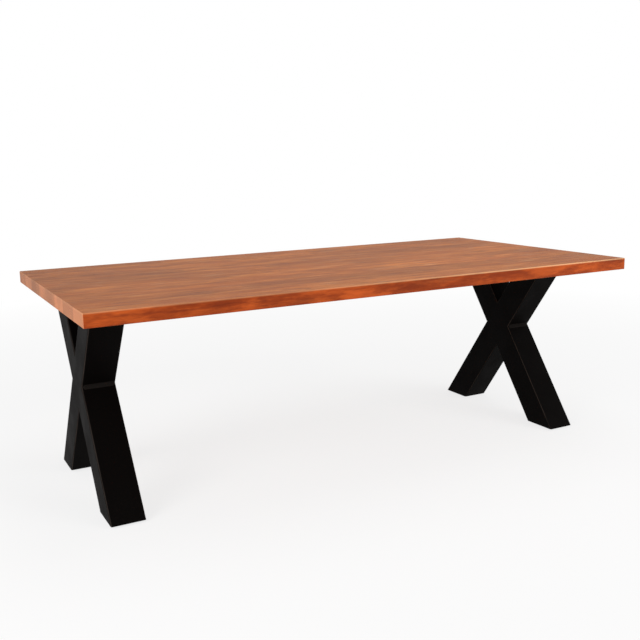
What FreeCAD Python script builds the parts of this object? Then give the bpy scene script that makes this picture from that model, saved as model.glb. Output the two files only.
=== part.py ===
import FreeCAD
import Part
import math
import os
import Sketcher

# A sawbuck table: a slab of edge-glued boards on two crossed frames of square steel tube.
# +X runs along the table to its right end, +Y to its back, +Z up; the floor is z = 0 and the
# origin is under the middle of the top. Lengths are in millimetres.

SIZES = (
    ("table_length", 2200),
    ("table_width", 1100),
    ("table_height", 760),
    ("top_thickness", 46),
    ("edge_ease", 2.5),
    ("frame_inset", 140),
    ("foot_half_spread", 297),
    ("top_half_spread", 215),
    ("tube_size", 120),
    ("tube_wall", 3),
    ("tube_corner", 6),
    ("crotch_weld_leg", 11),
    ("plate_weld_leg", 6),
    ("plate_length", 700),
    ("plate_width", "=tube_size"),
    ("plate_thickness", 6),
    ("plate_corner", 10),
    ("bolt_inset_x", 22),
    ("bolt_inset_y", 28),
    ("bolt_inner_reach", 65),
    ("bolt_diameter", 8),
    ("bolt_length", 28),
    ("bolt_head_circle", 15),
    ("bolt_head_height", 5.3),
    ("bolt_slot_width", 9),
    ("bolt_slot_travel", 11),
    ("washer_diameter", 24),
    ("washer_hole", 8.6),
    ("washer_thickness", 2),
    ("insert_diameter", 12),
    ("insert_length", 20),
    ("insert_bore_depth", 24),
    ("thread_clearance", 0.08),
    ("seat_clearance", 0.2),
    ("channel_inset", 650),
    ("channel_length", 900),
    ("channel_width", 40),
    ("channel_height", 16),
    ("channel_wall", 3),
    ("channel_bend", 2),
    ("screw_diameter", 4.5),
    ("screw_length", 25),
    ("screw_head_diameter", 9),
    ("screw_head_height", 2.6),
    ("screw_slot_width", 5.5),
    ("screw_slot_travel", 6),
    ("foot_plate_thickness", 4),
    ("foot_hole", 11),
    ("foot_nut_circle", 19.6),
    ("foot_nut_height", 8),
    ("stud_diameter", 10),
    ("stud_length", 28),
    ("stud_tip_chamfer", 1.2),
    ("stud_neck_diameter", 7),
    ("stud_head_diameter", 13),
    ("stud_head_height", 1.5),
    ("collar_circle", 19.6),
    ("collar_height", 2.5),
    ("collar_gap", 0.2),
    ("pad_diameter", 38),
    ("pad_top_diameter", 33),
    ("pad_height", 4.5),
    ("pad_chamfer", 0.8),
    ("pad_base", 1.2),
    ("pad_lip", 1.4),
    ("pad_gap", 0.3),
    ("overrun", 5),
)

# Widths of the boards from the front edge to the back edge, as shares of the table's width.
BOARD_WIDTH_SHARES = (0.118, 0.132, 0.124, 0.128, 0.120, 0.134, 0.122, 0.122)
# Places of the channel screws from its middle, as shares of the channel's length.
CHANNEL_SCREW_SHARES = (-0.39, -0.23, -0.08, 0.08, 0.23, 0.39)
# Which way each frame lies along X, and each foot along Y.
SIDES = (("left", -1), ("right", 1))
FEET = (("front", -1), ("back", 1))
HEX_SIDES = 6
FULL_TURN = 360
ANGLE_TOLERANCE = math.radians(1)
X_AXIS = FreeCAD.Vector(1, 0, 0)
Y_AXIS = FreeCAD.Vector(0, 1, 0)
Z_AXIS = FreeCAD.Vector(0, 0, 1)
# A sketch's origin, and the vertices of a line or an arc in it.
ORIGIN = (-1, 1)
START, END, CENTRE = range(1, 4)

doc = FreeCAD.newDocument("sawbuck_table")
sheet = doc.addObject("Spreadsheet::Sheet", "Sizes")
for row, (alias, number) in enumerate(SIZES, start=1):
    sheet.set(f"A{row}", alias)
    sheet.set(f"B{row}", str(number))
    sheet.setAlias(f"B{row}", alias)
doc.recompute()

# Levels, places and angles that follow from the sizes.
FRAME_REACH = "(Sizes.table_length / 2 - Sizes.frame_inset)"
CHANNEL_REACH = "(Sizes.table_length / 2 - Sizes.channel_inset)"
TOP_UNDERSIDE = "(Sizes.table_height - Sizes.top_thickness)"
FRAME_TOP = f"({TOP_UNDERSIDE} - Sizes.plate_thickness)"
COLLAR_LEVEL = "(Sizes.pad_height + Sizes.pad_gap)"
STUD_LEVEL = f"({COLLAR_LEVEL} + Sizes.collar_height)"
FOOT_LEVEL = f"({STUD_LEVEL} + Sizes.collar_gap)"
TUBE_LEVEL = f"({FOOT_LEVEL} + Sizes.foot_plate_thickness)"
SPREAD = "(Sizes.foot_half_spread + Sizes.top_half_spread)"
FRAME_RISE = f"({FRAME_TOP} - {FOOT_LEVEL})"
LEAN = f"atan({SPREAD} / {FRAME_RISE})"
CROSSING_LEVEL = f"({FOOT_LEVEL} + {FRAME_RISE} * Sizes.foot_half_spread / {SPREAD})"
# How far a leaning bar must reach from the crossing to pass the floor and the top.
BAR_REACH = f"({FRAME_RISE} / cos({LEAN}) + Sizes.tube_size)"
# Half of a leaning tube's width, measured upright and level.
HALF_UPRIGHT = f"(Sizes.tube_size / 2 / sin({LEAN}))"
HALF_LEVEL = f"(Sizes.tube_size / 2 / cos({LEAN}))"

nodes = []


def size(alias):
    """The number in the sheet under this alias."""
    return float(sheet.get(alias))


def evaluate(expression):
    """The number that an expression over the sheet comes to."""
    return FreeCAD.Units.Quantity(sheet.evalExpression(str(expression))).Value


def bind(thing, **expressions):
    """Tie properties of a thing to expressions over the sheet."""
    for path, expression in expressions.items():
        thing.setExpression(path, expression)
    return thing


def place(thing, x, y, z):
    """Tie the position of a thing to three expressions."""
    thing.setExpression("Placement.Base.x", str(x))
    thing.setExpression("Placement.Base.y", str(y))
    thing.setExpression("Placement.Base.z", str(z))
    return thing


def box(name, length, width, height, x, y, z):
    """A box whose lowest corner is at x, y, z."""
    thing = doc.addObject("Part::Box", name)
    bind(thing, Length=length, Width=width, Height=height)
    return place(thing, x, y, z)


def cylinder(name, diameter, height, x, y, z):
    """An upright cylinder that stands on x, y, z."""
    thing = doc.addObject("Part::Cylinder", name)
    bind(thing, Radius=f"({diameter}) / 2", Height=height)
    return place(thing, x, y, z)


def hexagon(name, circle, height, x, y, z):
    """An upright hexagonal prism whose corners lie on a circle."""
    thing = doc.addObject("Part::Prism", name)
    thing.Polygon = HEX_SIDES
    bind(thing, Circumradius=f"({circle}) / 2", Height=height)
    return place(thing, x, y, z)


def fuse(name, pieces):
    """One solid from pieces that meet, or one tool from several cutters."""
    thing = doc.addObject("Part::MultiFuse", name)
    thing.Shapes = pieces
    return thing


def cut(name, base, tool):
    """The base with the tool's room taken out."""
    thing = doc.addObject("Part::Cut", name)
    thing.Base = base
    thing.Tool = tool
    return thing


def common(name, base, tool):
    """The part of the base that lies inside the tool."""
    thing = doc.addObject("Part::Common", name)
    thing.Base = base
    thing.Tool = tool
    return thing


def group(name, pieces):
    """Separate solids that share one node."""
    thing = doc.addObject("Part::Compound", name)
    thing.Links = pieces
    return thing


def keep(label, thing):
    """Name a finished sub-part and put it on the list of nodes."""
    thing.Label = label
    nodes.append(thing)
    return thing


def new_sketch(body, role):
    """An empty sketch on one of a body's own planes."""
    plane = next(feature for feature in body.Origin.OriginFeatures if feature.Role == role)
    sketch = body.newObject("Sketcher::SketchObject", f"{body.Name}_sketch")
    sketch.AttachmentSupport = [(plane, "")]
    sketch.MapMode = "FlatFace"
    return sketch


def join(sketch, kind, first, first_vertex, second, second_vertex):
    """Make two ends in a sketch meet, at a corner or smoothly."""
    sketch.addConstraint(Sketcher.Constraint(kind, first, first_vertex, second, second_vertex))


def fix(sketch, curve, vertex, x, y):
    """Hold a point of a sketch at two expressions from its origin."""
    for kind, expression in (("DistanceX", x), ("DistanceY", y)):
        held = Sketcher.Constraint(kind, *ORIGIN, curve, vertex, evaluate(expression))
        number = sketch.addConstraint(held)
        sketch.setExpression(f"Constraints[{number}]", str(expression))


def spot(x, y):
    """The point of a sketch that two expressions give."""
    return FreeCAD.Vector(evaluate(x), evaluate(y), 0)


def draw_corners(sketch, corners):
    """A closed outline of straight lines in an empty sketch; each corner is a pair of expressions."""
    spots = [spot(x, y) for x, y in corners]
    for start, end in zip(spots, spots[1:] + spots[:1]):
        sketch.addGeometry(Part.LineSegment(start, end), False)
    for line, (x, y) in enumerate(corners):
        join(sketch, "Coincident", (line - 1) % len(corners), END, line, START)
        fix(sketch, line, START, x, y)


def draw_belt(sketch, radius, centres):
    """The outline of a belt round circles of one radius, given counterclockwise.

    Two circles give a slot with round ends, and four a rectangle with round corners.
    """
    count = len(centres)
    first = sketch.GeometryCount
    spots = [spot(x, y) for x, y in centres]
    runs = [spots[(step + 1) % count] - spots[step] for step in range(count)]
    sides = [math.atan2(-run.x, run.y) for run in runs]
    reach = evaluate(radius)
    for step, centre in enumerate(spots):
        turn = (sides[step] - sides[step - 1]) % (2 * math.pi)
        circle = Part.Circle(centre, Z_AXIS, reach)
        sketch.addGeometry(Part.ArcOfCircle(circle, sides[step - 1], sides[step - 1] + turn), False)
    for step, centre in enumerate(spots):
        outward = FreeCAD.Vector(math.cos(sides[step]), math.sin(sides[step]), 0) * reach
        sketch.addGeometry(Part.LineSegment(centre + outward, centre + runs[step] + outward), False)
    for step, (x, y) in enumerate(centres):
        arc = first + step
        line = arc + count
        join(sketch, "Tangent", arc, END, line, START)
        join(sketch, "Tangent", line, END, first + (step + 1) % count, START)
        fix(sketch, arc, CENTRE, x, y)
        number = sketch.addConstraint(Sketcher.Constraint("Radius", arc, reach))
        sketch.setExpression(f"Constraints[{number}]", radius)


def draw_round_rectangle(sketch, width, length, corner):
    """A rectangle with round corners about the sketch's origin."""
    x = f"(({width}) / 2 - ({corner}))"
    y = f"(({length}) / 2 - ({corner}))"
    draw_belt(sketch, corner, ((x, y), (f"-{x}", y), (f"-{x}", f"-{y}"), (x, f"-{y}")))


def extrude(body, sketch, length, way="Symmetric", reversed_way=False):
    """Pad a sketch to both sides of its plane, or to one side."""
    pad = body.newObject("PartDesign::Pad", f"{body.Name}_pad")
    pad.Profile = sketch
    pad.SideType = way
    pad.Reversed = reversed_way
    return bind(pad, Length=length)


def cut_slots(body, width, travel, places):
    """Cut slots with round ends, which run along Y, right through a body."""
    sketch = new_sketch(body, "XY_Plane")
    for x, y in places:
        ends = ((x, f"({y} - {travel} / 2)"), (x, f"({y} + {travel} / 2)"))
        draw_belt(sketch, f"{width} / 2", ends)
    pocket = body.newObject("PartDesign::Pocket", f"{body.Name}_slots")
    pocket.Profile = sketch
    pocket.SideType = "Symmetric"
    pocket.Type = "ThroughAll"


def turned(name, corners):
    """A body turned about Z from an outline of radii and heights."""
    body = doc.addObject("PartDesign::Body", name)
    sketch = new_sketch(body, "XZ_Plane")
    draw_corners(sketch, corners)
    revolution = body.newObject("PartDesign::Revolution", f"{name}_revolution")
    revolution.Profile = sketch
    revolution.ReferenceAxis = (sketch, ["V_Axis"])
    revolution.Angle = FULL_TURN
    return body


def straight_edges(shape, axis):
    """Numbers of a shape's straight edges that run along an axis."""
    numbers = []
    for number, edge in enumerate(shape.Edges, start=1):
        if edge.Curve.TypeId == "Part::GeomLine" and edge.Curve.Direction.isParallel(axis, ANGLE_TOLERANCE):
            numbers.append(number)
    return numbers


def bar(name, frame_x, lean, half, hollow):
    """A square bar that leans through the crossing of its frame, or one half of it.

    A hollow bar is a tube, and one that is not serves as the outline that pieces are cut to.
    """
    body = doc.addObject("PartDesign::Body", name)
    section = new_sketch(body, "XY_Plane")
    draw_round_rectangle(section, "Sizes.tube_size", "Sizes.tube_size", "Sizes.tube_corner")
    if hollow:
        inside = "Sizes.tube_size - 2 * Sizes.tube_wall"
        draw_round_rectangle(section, inside, inside, "Sizes.tube_corner - Sizes.tube_wall")
    if half:
        extrude(body, section, BAR_REACH, "One side", half == "lower")
    else:
        extrude(body, section, f"2 * {BAR_REACH}")
    body.Placement.Rotation = FreeCAD.Rotation(FreeCAD.Vector(lean, 0, 0), 1)
    bind(body, **{"Placement.Rotation.Angle": LEAN})
    return place(body, frame_x, 0, CROSSING_LEVEL)


def weld_bead(name, frame_x, leg, apex, first, second):
    """A concave weld along X in the corner between two faces.

    The faces leave the apex along two directions in the YZ plane, the second counterclockwise
    from the first, and an arc touches both one leg away from the apex.
    """
    first_end = [f"({start} + {leg} * {way})" for start, way in zip(apex, first)]
    second_end = [f"({start} + {leg} * {way})" for start, way in zip(apex, second)]
    corner = spot(*apex)
    toes = [spot(*first_end) - corner, spot(*second_end) - corner]
    half_angle = toes[0].getAngle(toes[1]) / 2
    centre = (toes[0] + toes[1]) * (1 / (2 * math.cos(half_angle) ** 2))
    starts = [math.atan2((toe - centre).y, (toe - centre).x) for toe in toes]
    sweep = (starts[0] - starts[1]) % (2 * math.pi)
    circle = Part.Circle(corner + centre, Z_AXIS, (toes[0] - centre).Length)

    body = doc.addObject("PartDesign::Body", name)
    sketch = new_sketch(body, "YZ_Plane")
    face = sketch.addGeometry(Part.LineSegment(corner, corner + toes[0]), False)
    arc = sketch.addGeometry(Part.ArcOfCircle(circle, starts[1], starts[1] + sweep), False)
    other = sketch.addGeometry(Part.LineSegment(corner + toes[1], corner), False)
    join(sketch, "Coincident", other, END, face, START)
    join(sketch, "Tangent", face, END, arc, END)
    join(sketch, "Coincident", arc, START, other, START)
    fix(sketch, face, START, *apex)
    fix(sketch, face, END, *first_end)
    fix(sketch, other, START, *second_end)
    extrude(body, sketch, "Sizes.tube_size - 2 * Sizes.tube_corner")
    return place(body, frame_x, 0, 0)


def frame_welds(side, frame_x):
    """The welds of one frame: four where its tubes cross and two where each arm meets the plate."""
    aside = f"sin({LEAN})"
    up = f"cos({LEAN})"
    front_up = (f"-{aside}", up)
    back_up = (aside, up)
    front_down = (f"-{aside}", f"-{up}")
    back_down = (aside, f"-{up}")
    beads = []
    for name, apex, first, second in (
        ("top", (0, f"({CROSSING_LEVEL} + {HALF_UPRIGHT})"), back_up, front_up),
        ("bottom", (0, f"({CROSSING_LEVEL} - {HALF_UPRIGHT})"), front_down, back_down),
        ("front", (f"-{HALF_LEVEL}", CROSSING_LEVEL), front_up, front_down),
        ("back", (HALF_LEVEL, CROSSING_LEVEL), back_down, back_up),
    ):
        beads.append(weld_bead(f"{side}_{name}_weld", frame_x, "Sizes.crotch_weld_leg", apex, first, second))
    for (arm, sign), down in zip(FEET, (back_down, front_down)):
        for toward, first, second in ((-1, (-1, 0), down), (1, down, (1, 0))):
            apex = (f"({sign} * Sizes.top_half_spread + {toward} * {HALF_LEVEL})", FRAME_TOP)
            name = f"{side}_{arm}_plate_weld"
            beads.append(weld_bead(name, frame_x, "Sizes.plate_weld_leg", apex, first, second))
    keep(f"{side}_frame_welds", group(f"{side}_welds", beads))


def bolt_places():
    """Places of a plate's bolts from its middle: four near its corners, two between the arms."""
    places = []
    for _, across in SIDES:
        for _, along in FEET:
            x = f"({across} * (Sizes.plate_width / 2 - Sizes.bolt_inset_x))"
            y = f"({along} * (Sizes.plate_length / 2 - Sizes.bolt_inset_y))"
            places.append((x, y))
    for _, along in FEET:
        places.append(("0", f"({along} * Sizes.bolt_inner_reach)"))
    return places


def bolts(side, frame_x):
    """Bolts, washers and threaded inserts that hold one mounting plate to the top."""
    bolt_pieces = []
    washer_pieces = []
    insert_pieces = []
    washer_level = f"({FRAME_TOP} - Sizes.washer_thickness)"
    head_level = f"({washer_level} - Sizes.bolt_head_height)"
    bore = "Sizes.bolt_diameter + 2 * Sizes.thread_clearance"
    for count, (across, y) in enumerate(bolt_places(), start=1):
        name = f"{side}_bolt_{count}"
        x = f"{frame_x} + {across}"
        head = hexagon(f"{name}_head", "Sizes.bolt_head_circle", "Sizes.bolt_head_height", x, y, head_level)
        shank = cylinder(f"{name}_shank", "Sizes.bolt_diameter", "Sizes.bolt_length", x, y, washer_level)
        bolt_pieces.append(fuse(name, [head, shank]))
        disc = cylinder(f"{name}_disc", "Sizes.washer_diameter", "Sizes.washer_thickness", x, y, washer_level)
        eye = cylinder(f"{name}_eye", "Sizes.washer_hole", "Sizes.washer_thickness", x, y, washer_level)
        washer_pieces.append(cut(f"{name}_washer", disc, eye))
        sleeve = cylinder(
            f"{name}_sleeve", "Sizes.insert_diameter", "Sizes.insert_length", x, y, TOP_UNDERSIDE,
        )
        thread = cylinder(f"{name}_thread", bore, "Sizes.insert_length", x, y, TOP_UNDERSIDE)
        insert_pieces.append(cut(f"{name}_insert", sleeve, thread))
    keep(f"{side}_plate_bolts", group(f"{side}_bolts", bolt_pieces))
    keep(f"{side}_plate_washers", group(f"{side}_washers", washer_pieces))
    keep(f"{side}_top_inserts", group(f"{side}_inserts", insert_pieces))


def mounting_plate(side, frame_x):
    """The plate on top of a frame, with slots across the grain for its bolts."""
    plate = doc.addObject("PartDesign::Body", f"{side}_plate")
    sketch = new_sketch(plate, "XY_Plane")
    draw_round_rectangle(sketch, "Sizes.plate_width", "Sizes.plate_length", "Sizes.plate_corner")
    extrude(plate, sketch, "Sizes.plate_thickness", "One side")
    cut_slots(plate, "Sizes.bolt_slot_width", "Sizes.bolt_slot_travel", bolt_places())
    keep(f"{side}_mounting_plate", place(plate, frame_x, 0, FRAME_TOP))


def leveller(name, frame_x, foot_y):
    """A nylon pad snapped on the head of a threaded stud with a hex collar."""
    head_low = "(Sizes.pad_base + Sizes.pad_gap / 2)"
    head_high = f"({head_low} + Sizes.stud_head_height)"
    tip = f"({STUD_LEVEL} + Sizes.stud_length)"
    head = "Sizes.stud_head_diameter / 2"
    neck = "Sizes.stud_neck_diameter / 2"
    shank = "Sizes.stud_diameter / 2"
    spindle = turned(f"{name}_spindle", (
        (0, head_low),
        (head, head_low),
        (head, head_high),
        (neck, head_high),
        (neck, COLLAR_LEVEL),
        (shank, COLLAR_LEVEL),
        (shank, f"{tip} - Sizes.stud_tip_chamfer"),
        (f"{shank} - Sizes.stud_tip_chamfer", tip),
        (0, tip),
    ))
    place(spindle, frame_x, foot_y, 0)
    collar = hexagon(
        f"{name}_collar", "Sizes.collar_circle", "Sizes.collar_height", frame_x, foot_y, COLLAR_LEVEL,
    )
    keep(f"{name}_stud", fuse(f"{name}_stud_fuse", [spindle, collar]))

    throat = f"{neck} + Sizes.pad_gap"
    pocket = f"{head} + Sizes.pad_gap"
    lip_low = "Sizes.pad_height - Sizes.pad_lip"
    pad = turned(f"{name}_moulding", (
        (0, 0),
        ("Sizes.pad_diameter / 2", 0),
        ("Sizes.pad_top_diameter / 2", "Sizes.pad_height - Sizes.pad_chamfer"),
        ("Sizes.pad_top_diameter / 2 - Sizes.pad_chamfer", "Sizes.pad_height"),
        (throat, "Sizes.pad_height"),
        (throat, lip_low),
        (pocket, lip_low),
        (pocket, "Sizes.pad_base"),
        (0, "Sizes.pad_base"),
    ))
    keep(f"{name}_pad", place(pad, frame_x, foot_y, 0))


def foot(side, foot_name, sign, frame_x, outline):
    """The plate that closes a tube's lower end, and the nut welded on it inside the tube."""
    name = f"{side}_{foot_name}_foot"
    foot_y = f"({sign} * Sizes.foot_half_spread)"
    slab = box(
        f"{name}_slab", "2 * Sizes.tube_size", f"2 * {BAR_REACH}", "Sizes.foot_plate_thickness",
        f"{frame_x} - Sizes.tube_size", f"-{BAR_REACH}", FOOT_LEVEL,
    )
    blank = common(f"{name}_blank", outline, slab)
    hole = cylinder(
        f"{name}_hole", "Sizes.foot_hole", "Sizes.foot_plate_thickness + 2 * Sizes.overrun",
        frame_x, foot_y, f"{FOOT_LEVEL} - Sizes.overrun",
    )
    keep(f"{name}_plate", cut(f"{name}_drilled", blank, hole))
    nut = hexagon(
        f"{name}_nut_blank", "Sizes.foot_nut_circle", "Sizes.foot_nut_height",
        frame_x, foot_y, TUBE_LEVEL,
    )
    bore = cylinder(
        f"{name}_nut_bore", "Sizes.stud_diameter + 2 * Sizes.thread_clearance",
        "Sizes.foot_nut_height + 2 * Sizes.overrun", frame_x, foot_y, f"{TUBE_LEVEL} - Sizes.overrun",
    )
    keep(f"{name}_nut", cut(f"{name}_nut_cut", nut, bore))
    leveller(f"{side}_{foot_name}_leveller", frame_x, foot_y)


def frame(side, sign):
    """One crossed frame: a through tube, two halves coped against it, welds, plate and feet."""
    frame_x = f"({sign} * {FRAME_REACH})"
    slab = box(
        f"{side}_trim", "2 * Sizes.tube_size", f"2 * {BAR_REACH}", f"{FRAME_TOP} - {TUBE_LEVEL}",
        f"{frame_x} - Sizes.tube_size", f"-{BAR_REACH}", TUBE_LEVEL,
    )
    through = bar(f"{side}_through_bar", frame_x, 1, None, True)
    through_outline = bar(f"{side}_through_outline", frame_x, 1, None, False)
    crossing_outline = bar(f"{side}_crossing_outline", frame_x, -1, None, False)
    keep(f"{side}_long_tube", common(f"{side}_through_tube", through, slab))
    for half in ("upper", "lower"):
        blank = bar(f"{side}_{half}_bar", frame_x, -1, half, True)
        trimmed = common(f"{side}_{half}_trimmed", blank, slab)
        keep(f"{side}_{half}_tube", cut(f"{side}_{half}_coped", trimmed, through_outline))
    frame_welds(side, frame_x)
    mounting_plate(side, frame_x)
    bolts(side, frame_x)
    for (foot_name, foot_sign), outline in zip(FEET, (crossing_outline, through_outline)):
        foot(side, foot_name, foot_sign, frame_x, outline)


def channel_bar(name, clearance, low):
    """A bar of channel section along Y, its web down, grown by a clearance where it has one."""
    outer = f"(Sizes.channel_width / 2 + {clearance})"
    inner = f"(Sizes.channel_width / 2 - Sizes.channel_wall - {clearance})"
    web = f"(Sizes.channel_wall + {clearance})"
    lip = f"(Sizes.channel_height + {clearance})"
    body = doc.addObject("PartDesign::Body", name)
    sketch = new_sketch(body, "XZ_Plane")
    draw_corners(sketch, (
        (f"-{outer}", low), (outer, low), (outer, lip), (inner, lip),
        (inner, web), (f"-{inner}", web), (f"-{inner}", lip), (f"-{outer}", lip),
    ))
    extrude(body, sketch, f"Sizes.channel_length + 2 * {clearance}")
    return body


def round_bends(body, level, radius):
    """Round the edges along a channel that lie within half a wall of a level."""
    doc.recompute()
    base = body.Tip
    chosen = []
    for number in straight_edges(base.Shape, Y_AXIS):
        height = base.Shape.Edges[number - 1].CenterOfMass.z
        if abs(height - evaluate(level)) < size("channel_wall") / 2:
            chosen.append(f"Edge{number}")
    fillet = body.newObject("PartDesign::Fillet", f"{body.Name}_bends")
    fillet.Base = (base, chosen)
    bind(fillet, Radius=radius)


def channel(side, sign):
    """A steel channel let into the underside across the boards, its web flush, and its seat."""
    channel_x = f"({sign} * {CHANNEL_REACH})"
    name = f"{side}_channel"
    places = [("0", f"({share} * Sizes.channel_length)") for share in CHANNEL_SCREW_SHARES]
    bar_body = channel_bar(name, "0", "0")
    round_bends(bar_body, "0", "Sizes.channel_bend + Sizes.channel_wall")
    round_bends(bar_body, "Sizes.channel_wall", "Sizes.channel_bend")
    cut_slots(bar_body, "Sizes.screw_slot_width", "Sizes.screw_slot_travel", places)
    keep(f"{side}_stiffener_channel", place(bar_body, channel_x, 0, TOP_UNDERSIDE))
    groove = channel_bar(f"{name}_seat", "Sizes.seat_clearance", "-Sizes.overrun")
    round_bends(groove, "Sizes.channel_wall", "Sizes.channel_bend - Sizes.seat_clearance")
    seats = [place(groove, channel_x, 0, TOP_UNDERSIDE)]
    screws = []
    head_level = f"{TOP_UNDERSIDE} - Sizes.screw_head_height"
    for count, (across, y) in enumerate(places, start=1):
        screw = f"{name}_screw_{count}"
        x = f"{channel_x} + {across}"
        head = cylinder(
            f"{screw}_head", "Sizes.screw_head_diameter", "Sizes.screw_head_height", x, y, head_level,
        )
        shank = cylinder(f"{screw}_shank", "Sizes.screw_diameter", "Sizes.screw_length", x, y, TOP_UNDERSIDE)
        screws.append(fuse(screw, [head, shank]))
        seats.append(cylinder(
            f"{screw}_pilot", "Sizes.screw_diameter + 2 * Sizes.thread_clearance",
            "Sizes.screw_length + Sizes.seat_clearance", x, y, TOP_UNDERSIDE,
        ))
    return seats, screws


def insert_bores(side, sign):
    """Cutters for the threaded inserts above one mounting plate."""
    frame_x = f"({sign} * {FRAME_REACH})"
    cutters = []
    for count, (across, y) in enumerate(bolt_places(), start=1):
        cutters.append(cylinder(
            f"{side}_insert_bore_{count}", "Sizes.insert_diameter + 2 * Sizes.thread_clearance",
            "Sizes.insert_bore_depth + Sizes.overrun",
            f"{frame_x} + {across}", y, f"{TOP_UNDERSIDE} - Sizes.overrun",
        ))
    return cutters


def board(count, front_share, width_share, seats):
    """One board of the top, eased along the rim of the slab and seated for the steelwork."""
    blank = box(
        f"board_blank_{count}", "Sizes.table_length", f"Sizes.table_width * {width_share}",
        "Sizes.top_thickness", "-Sizes.table_length / 2",
        f"Sizes.table_width * {front_share} - Sizes.table_width / 2", TOP_UNDERSIDE,
    )
    doc.recompute()
    shape = blank.Shape
    rim = size("table_width") / 2
    numbers = straight_edges(shape, Y_AXIS)
    for number in straight_edges(shape, X_AXIS) + straight_edges(shape, Z_AXIS):
        if math.isclose(abs(shape.Edges[number - 1].CenterOfMass.y), rim):
            numbers.append(number)
    eased = doc.addObject("Part::Fillet", f"board_eased_{count}")
    eased.Base = blank
    eased.Edges = [(number, size("edge_ease"), size("edge_ease")) for number in numbers]
    keep(f"top_board_{count}", cut(f"board_{count}", eased, seats))


def tabletop():
    """The boards of the top, the two channels under them and their screws."""
    cutters = []
    screws = []
    for side, sign in SIDES:
        seats, side_screws = channel(side, sign)
        cutters += seats + insert_bores(side, sign)
        screws += side_screws
    underside = fuse("underside_seats", cutters)
    keep("channel_screws", group("screws", screws))
    front_share = 0
    for count, width_share in enumerate(BOARD_WIDTH_SHARES, start=1):
        board(count, front_share, width_share, underside)
        front_share = front_share + width_share


tabletop()
for side_name, side_sign in SIDES:
    frame(side_name, side_sign)
doc.recompute()

for thing in doc.Objects:
    if "Invalid" in thing.State or "Error" in thing.State:
        raise RuntimeError(f"{thing.Name} did not build: {thing.State}")
os.makedirs("parts", exist_ok=True)
for thing in nodes:
    if thing.Shape.isNull() or not thing.Shape.isValid():
        raise RuntimeError(f"{thing.Label} has no valid shape")
    thing.Shape.exportStep(f"parts/{thing.Label}.step")
    print(thing.Label, len(thing.Shape.Solids), round(thing.Shape.Volume))
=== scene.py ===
# %% [markdown]
# A sawbuck table: a thick slab of glued boards on two crossed frames of black square tube.
# The sizes and joints of the table are fixed by its CAD model, which is loaded first as a frame.
# Everything below only dresses that frame: finishes for the wood and the coated steel, threads on
# the hardware, ripples on the welds, and a plain studio to look at it in. The table could be modelled
# again in Blender, but then two models would have to be kept alike.

# %% Load the frame
import math

import bpy
import numpy as np
from mathutils import Matrix, Vector


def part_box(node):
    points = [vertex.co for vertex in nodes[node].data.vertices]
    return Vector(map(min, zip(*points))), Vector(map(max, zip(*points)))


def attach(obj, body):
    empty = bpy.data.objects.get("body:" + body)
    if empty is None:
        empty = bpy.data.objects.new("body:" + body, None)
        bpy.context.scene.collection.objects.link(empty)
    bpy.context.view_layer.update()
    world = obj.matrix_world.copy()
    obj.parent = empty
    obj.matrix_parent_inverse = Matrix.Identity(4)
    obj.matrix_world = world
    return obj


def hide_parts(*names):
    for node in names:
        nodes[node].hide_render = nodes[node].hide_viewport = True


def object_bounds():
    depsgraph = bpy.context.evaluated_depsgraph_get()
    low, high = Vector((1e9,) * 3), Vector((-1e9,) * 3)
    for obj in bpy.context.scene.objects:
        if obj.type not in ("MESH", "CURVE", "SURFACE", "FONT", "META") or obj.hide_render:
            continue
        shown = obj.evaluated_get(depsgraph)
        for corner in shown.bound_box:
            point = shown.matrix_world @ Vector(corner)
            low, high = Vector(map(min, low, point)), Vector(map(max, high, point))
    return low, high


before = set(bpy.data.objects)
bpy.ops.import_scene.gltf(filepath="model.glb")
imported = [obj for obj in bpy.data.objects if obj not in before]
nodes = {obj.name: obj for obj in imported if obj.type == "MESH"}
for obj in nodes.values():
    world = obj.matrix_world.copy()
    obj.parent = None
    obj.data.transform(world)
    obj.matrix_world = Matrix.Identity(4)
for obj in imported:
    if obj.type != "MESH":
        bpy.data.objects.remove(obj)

cad_low, cad_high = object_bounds()
print("frame:", len(nodes), "nodes, box", [round(v, 3) for v in cad_high - cad_low])

# %% [markdown]
# The camera stands to the left of the table's front, at about the eye level of someone seated, and
# looks across the top. It could be placed by eye, but then the outlines never quite meet. Its place
# and angles were worked out from the corners of the slab and the edges of the frames instead, so that
# the render lies over the photograph.

# %% Camera
CAMERA_AT = Vector((-1.6177, -2.9683, 1.1963))
CAMERA_TURN = math.radians(28.16)
CAMERA_DIP = math.radians(11.14)
CAMERA_ROLL = math.radians(-1.05)
IMAGE_WIDTH = 640
FOCAL_PIXELS = 838.1
SENSOR_WIDTH = 36


def make_camera():
    """A camera whose axes are worked out from its turn to the right, its dip and its roll."""
    forward = Vector((
        math.sin(CAMERA_TURN) * math.cos(CAMERA_DIP),
        math.cos(CAMERA_TURN) * math.cos(CAMERA_DIP),
        -math.sin(CAMERA_DIP),
    ))
    level_right = Vector((math.cos(CAMERA_TURN), -math.sin(CAMERA_TURN), 0))
    level_up = level_right.cross(forward)
    right = level_right * math.cos(CAMERA_ROLL) + level_up * math.sin(CAMERA_ROLL)
    up = level_up * math.cos(CAMERA_ROLL) - level_right * math.sin(CAMERA_ROLL)
    lens = bpy.data.cameras.new("camera")
    lens.sensor_width = SENSOR_WIDTH
    lens.lens = SENSOR_WIDTH * FOCAL_PIXELS / IMAGE_WIDTH
    camera = bpy.data.objects.new("camera", lens)
    bpy.context.scene.collection.objects.link(camera)
    turned = Matrix((right, up, -forward)).transposed()
    camera.matrix_world = Matrix.Translation(CAMERA_AT) @ turned.to_4x4()
    bpy.context.scene.camera = camera
    return camera


camera = make_camera()
print("camera: lens", round(camera.data.lens, 2), "mm")

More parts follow.
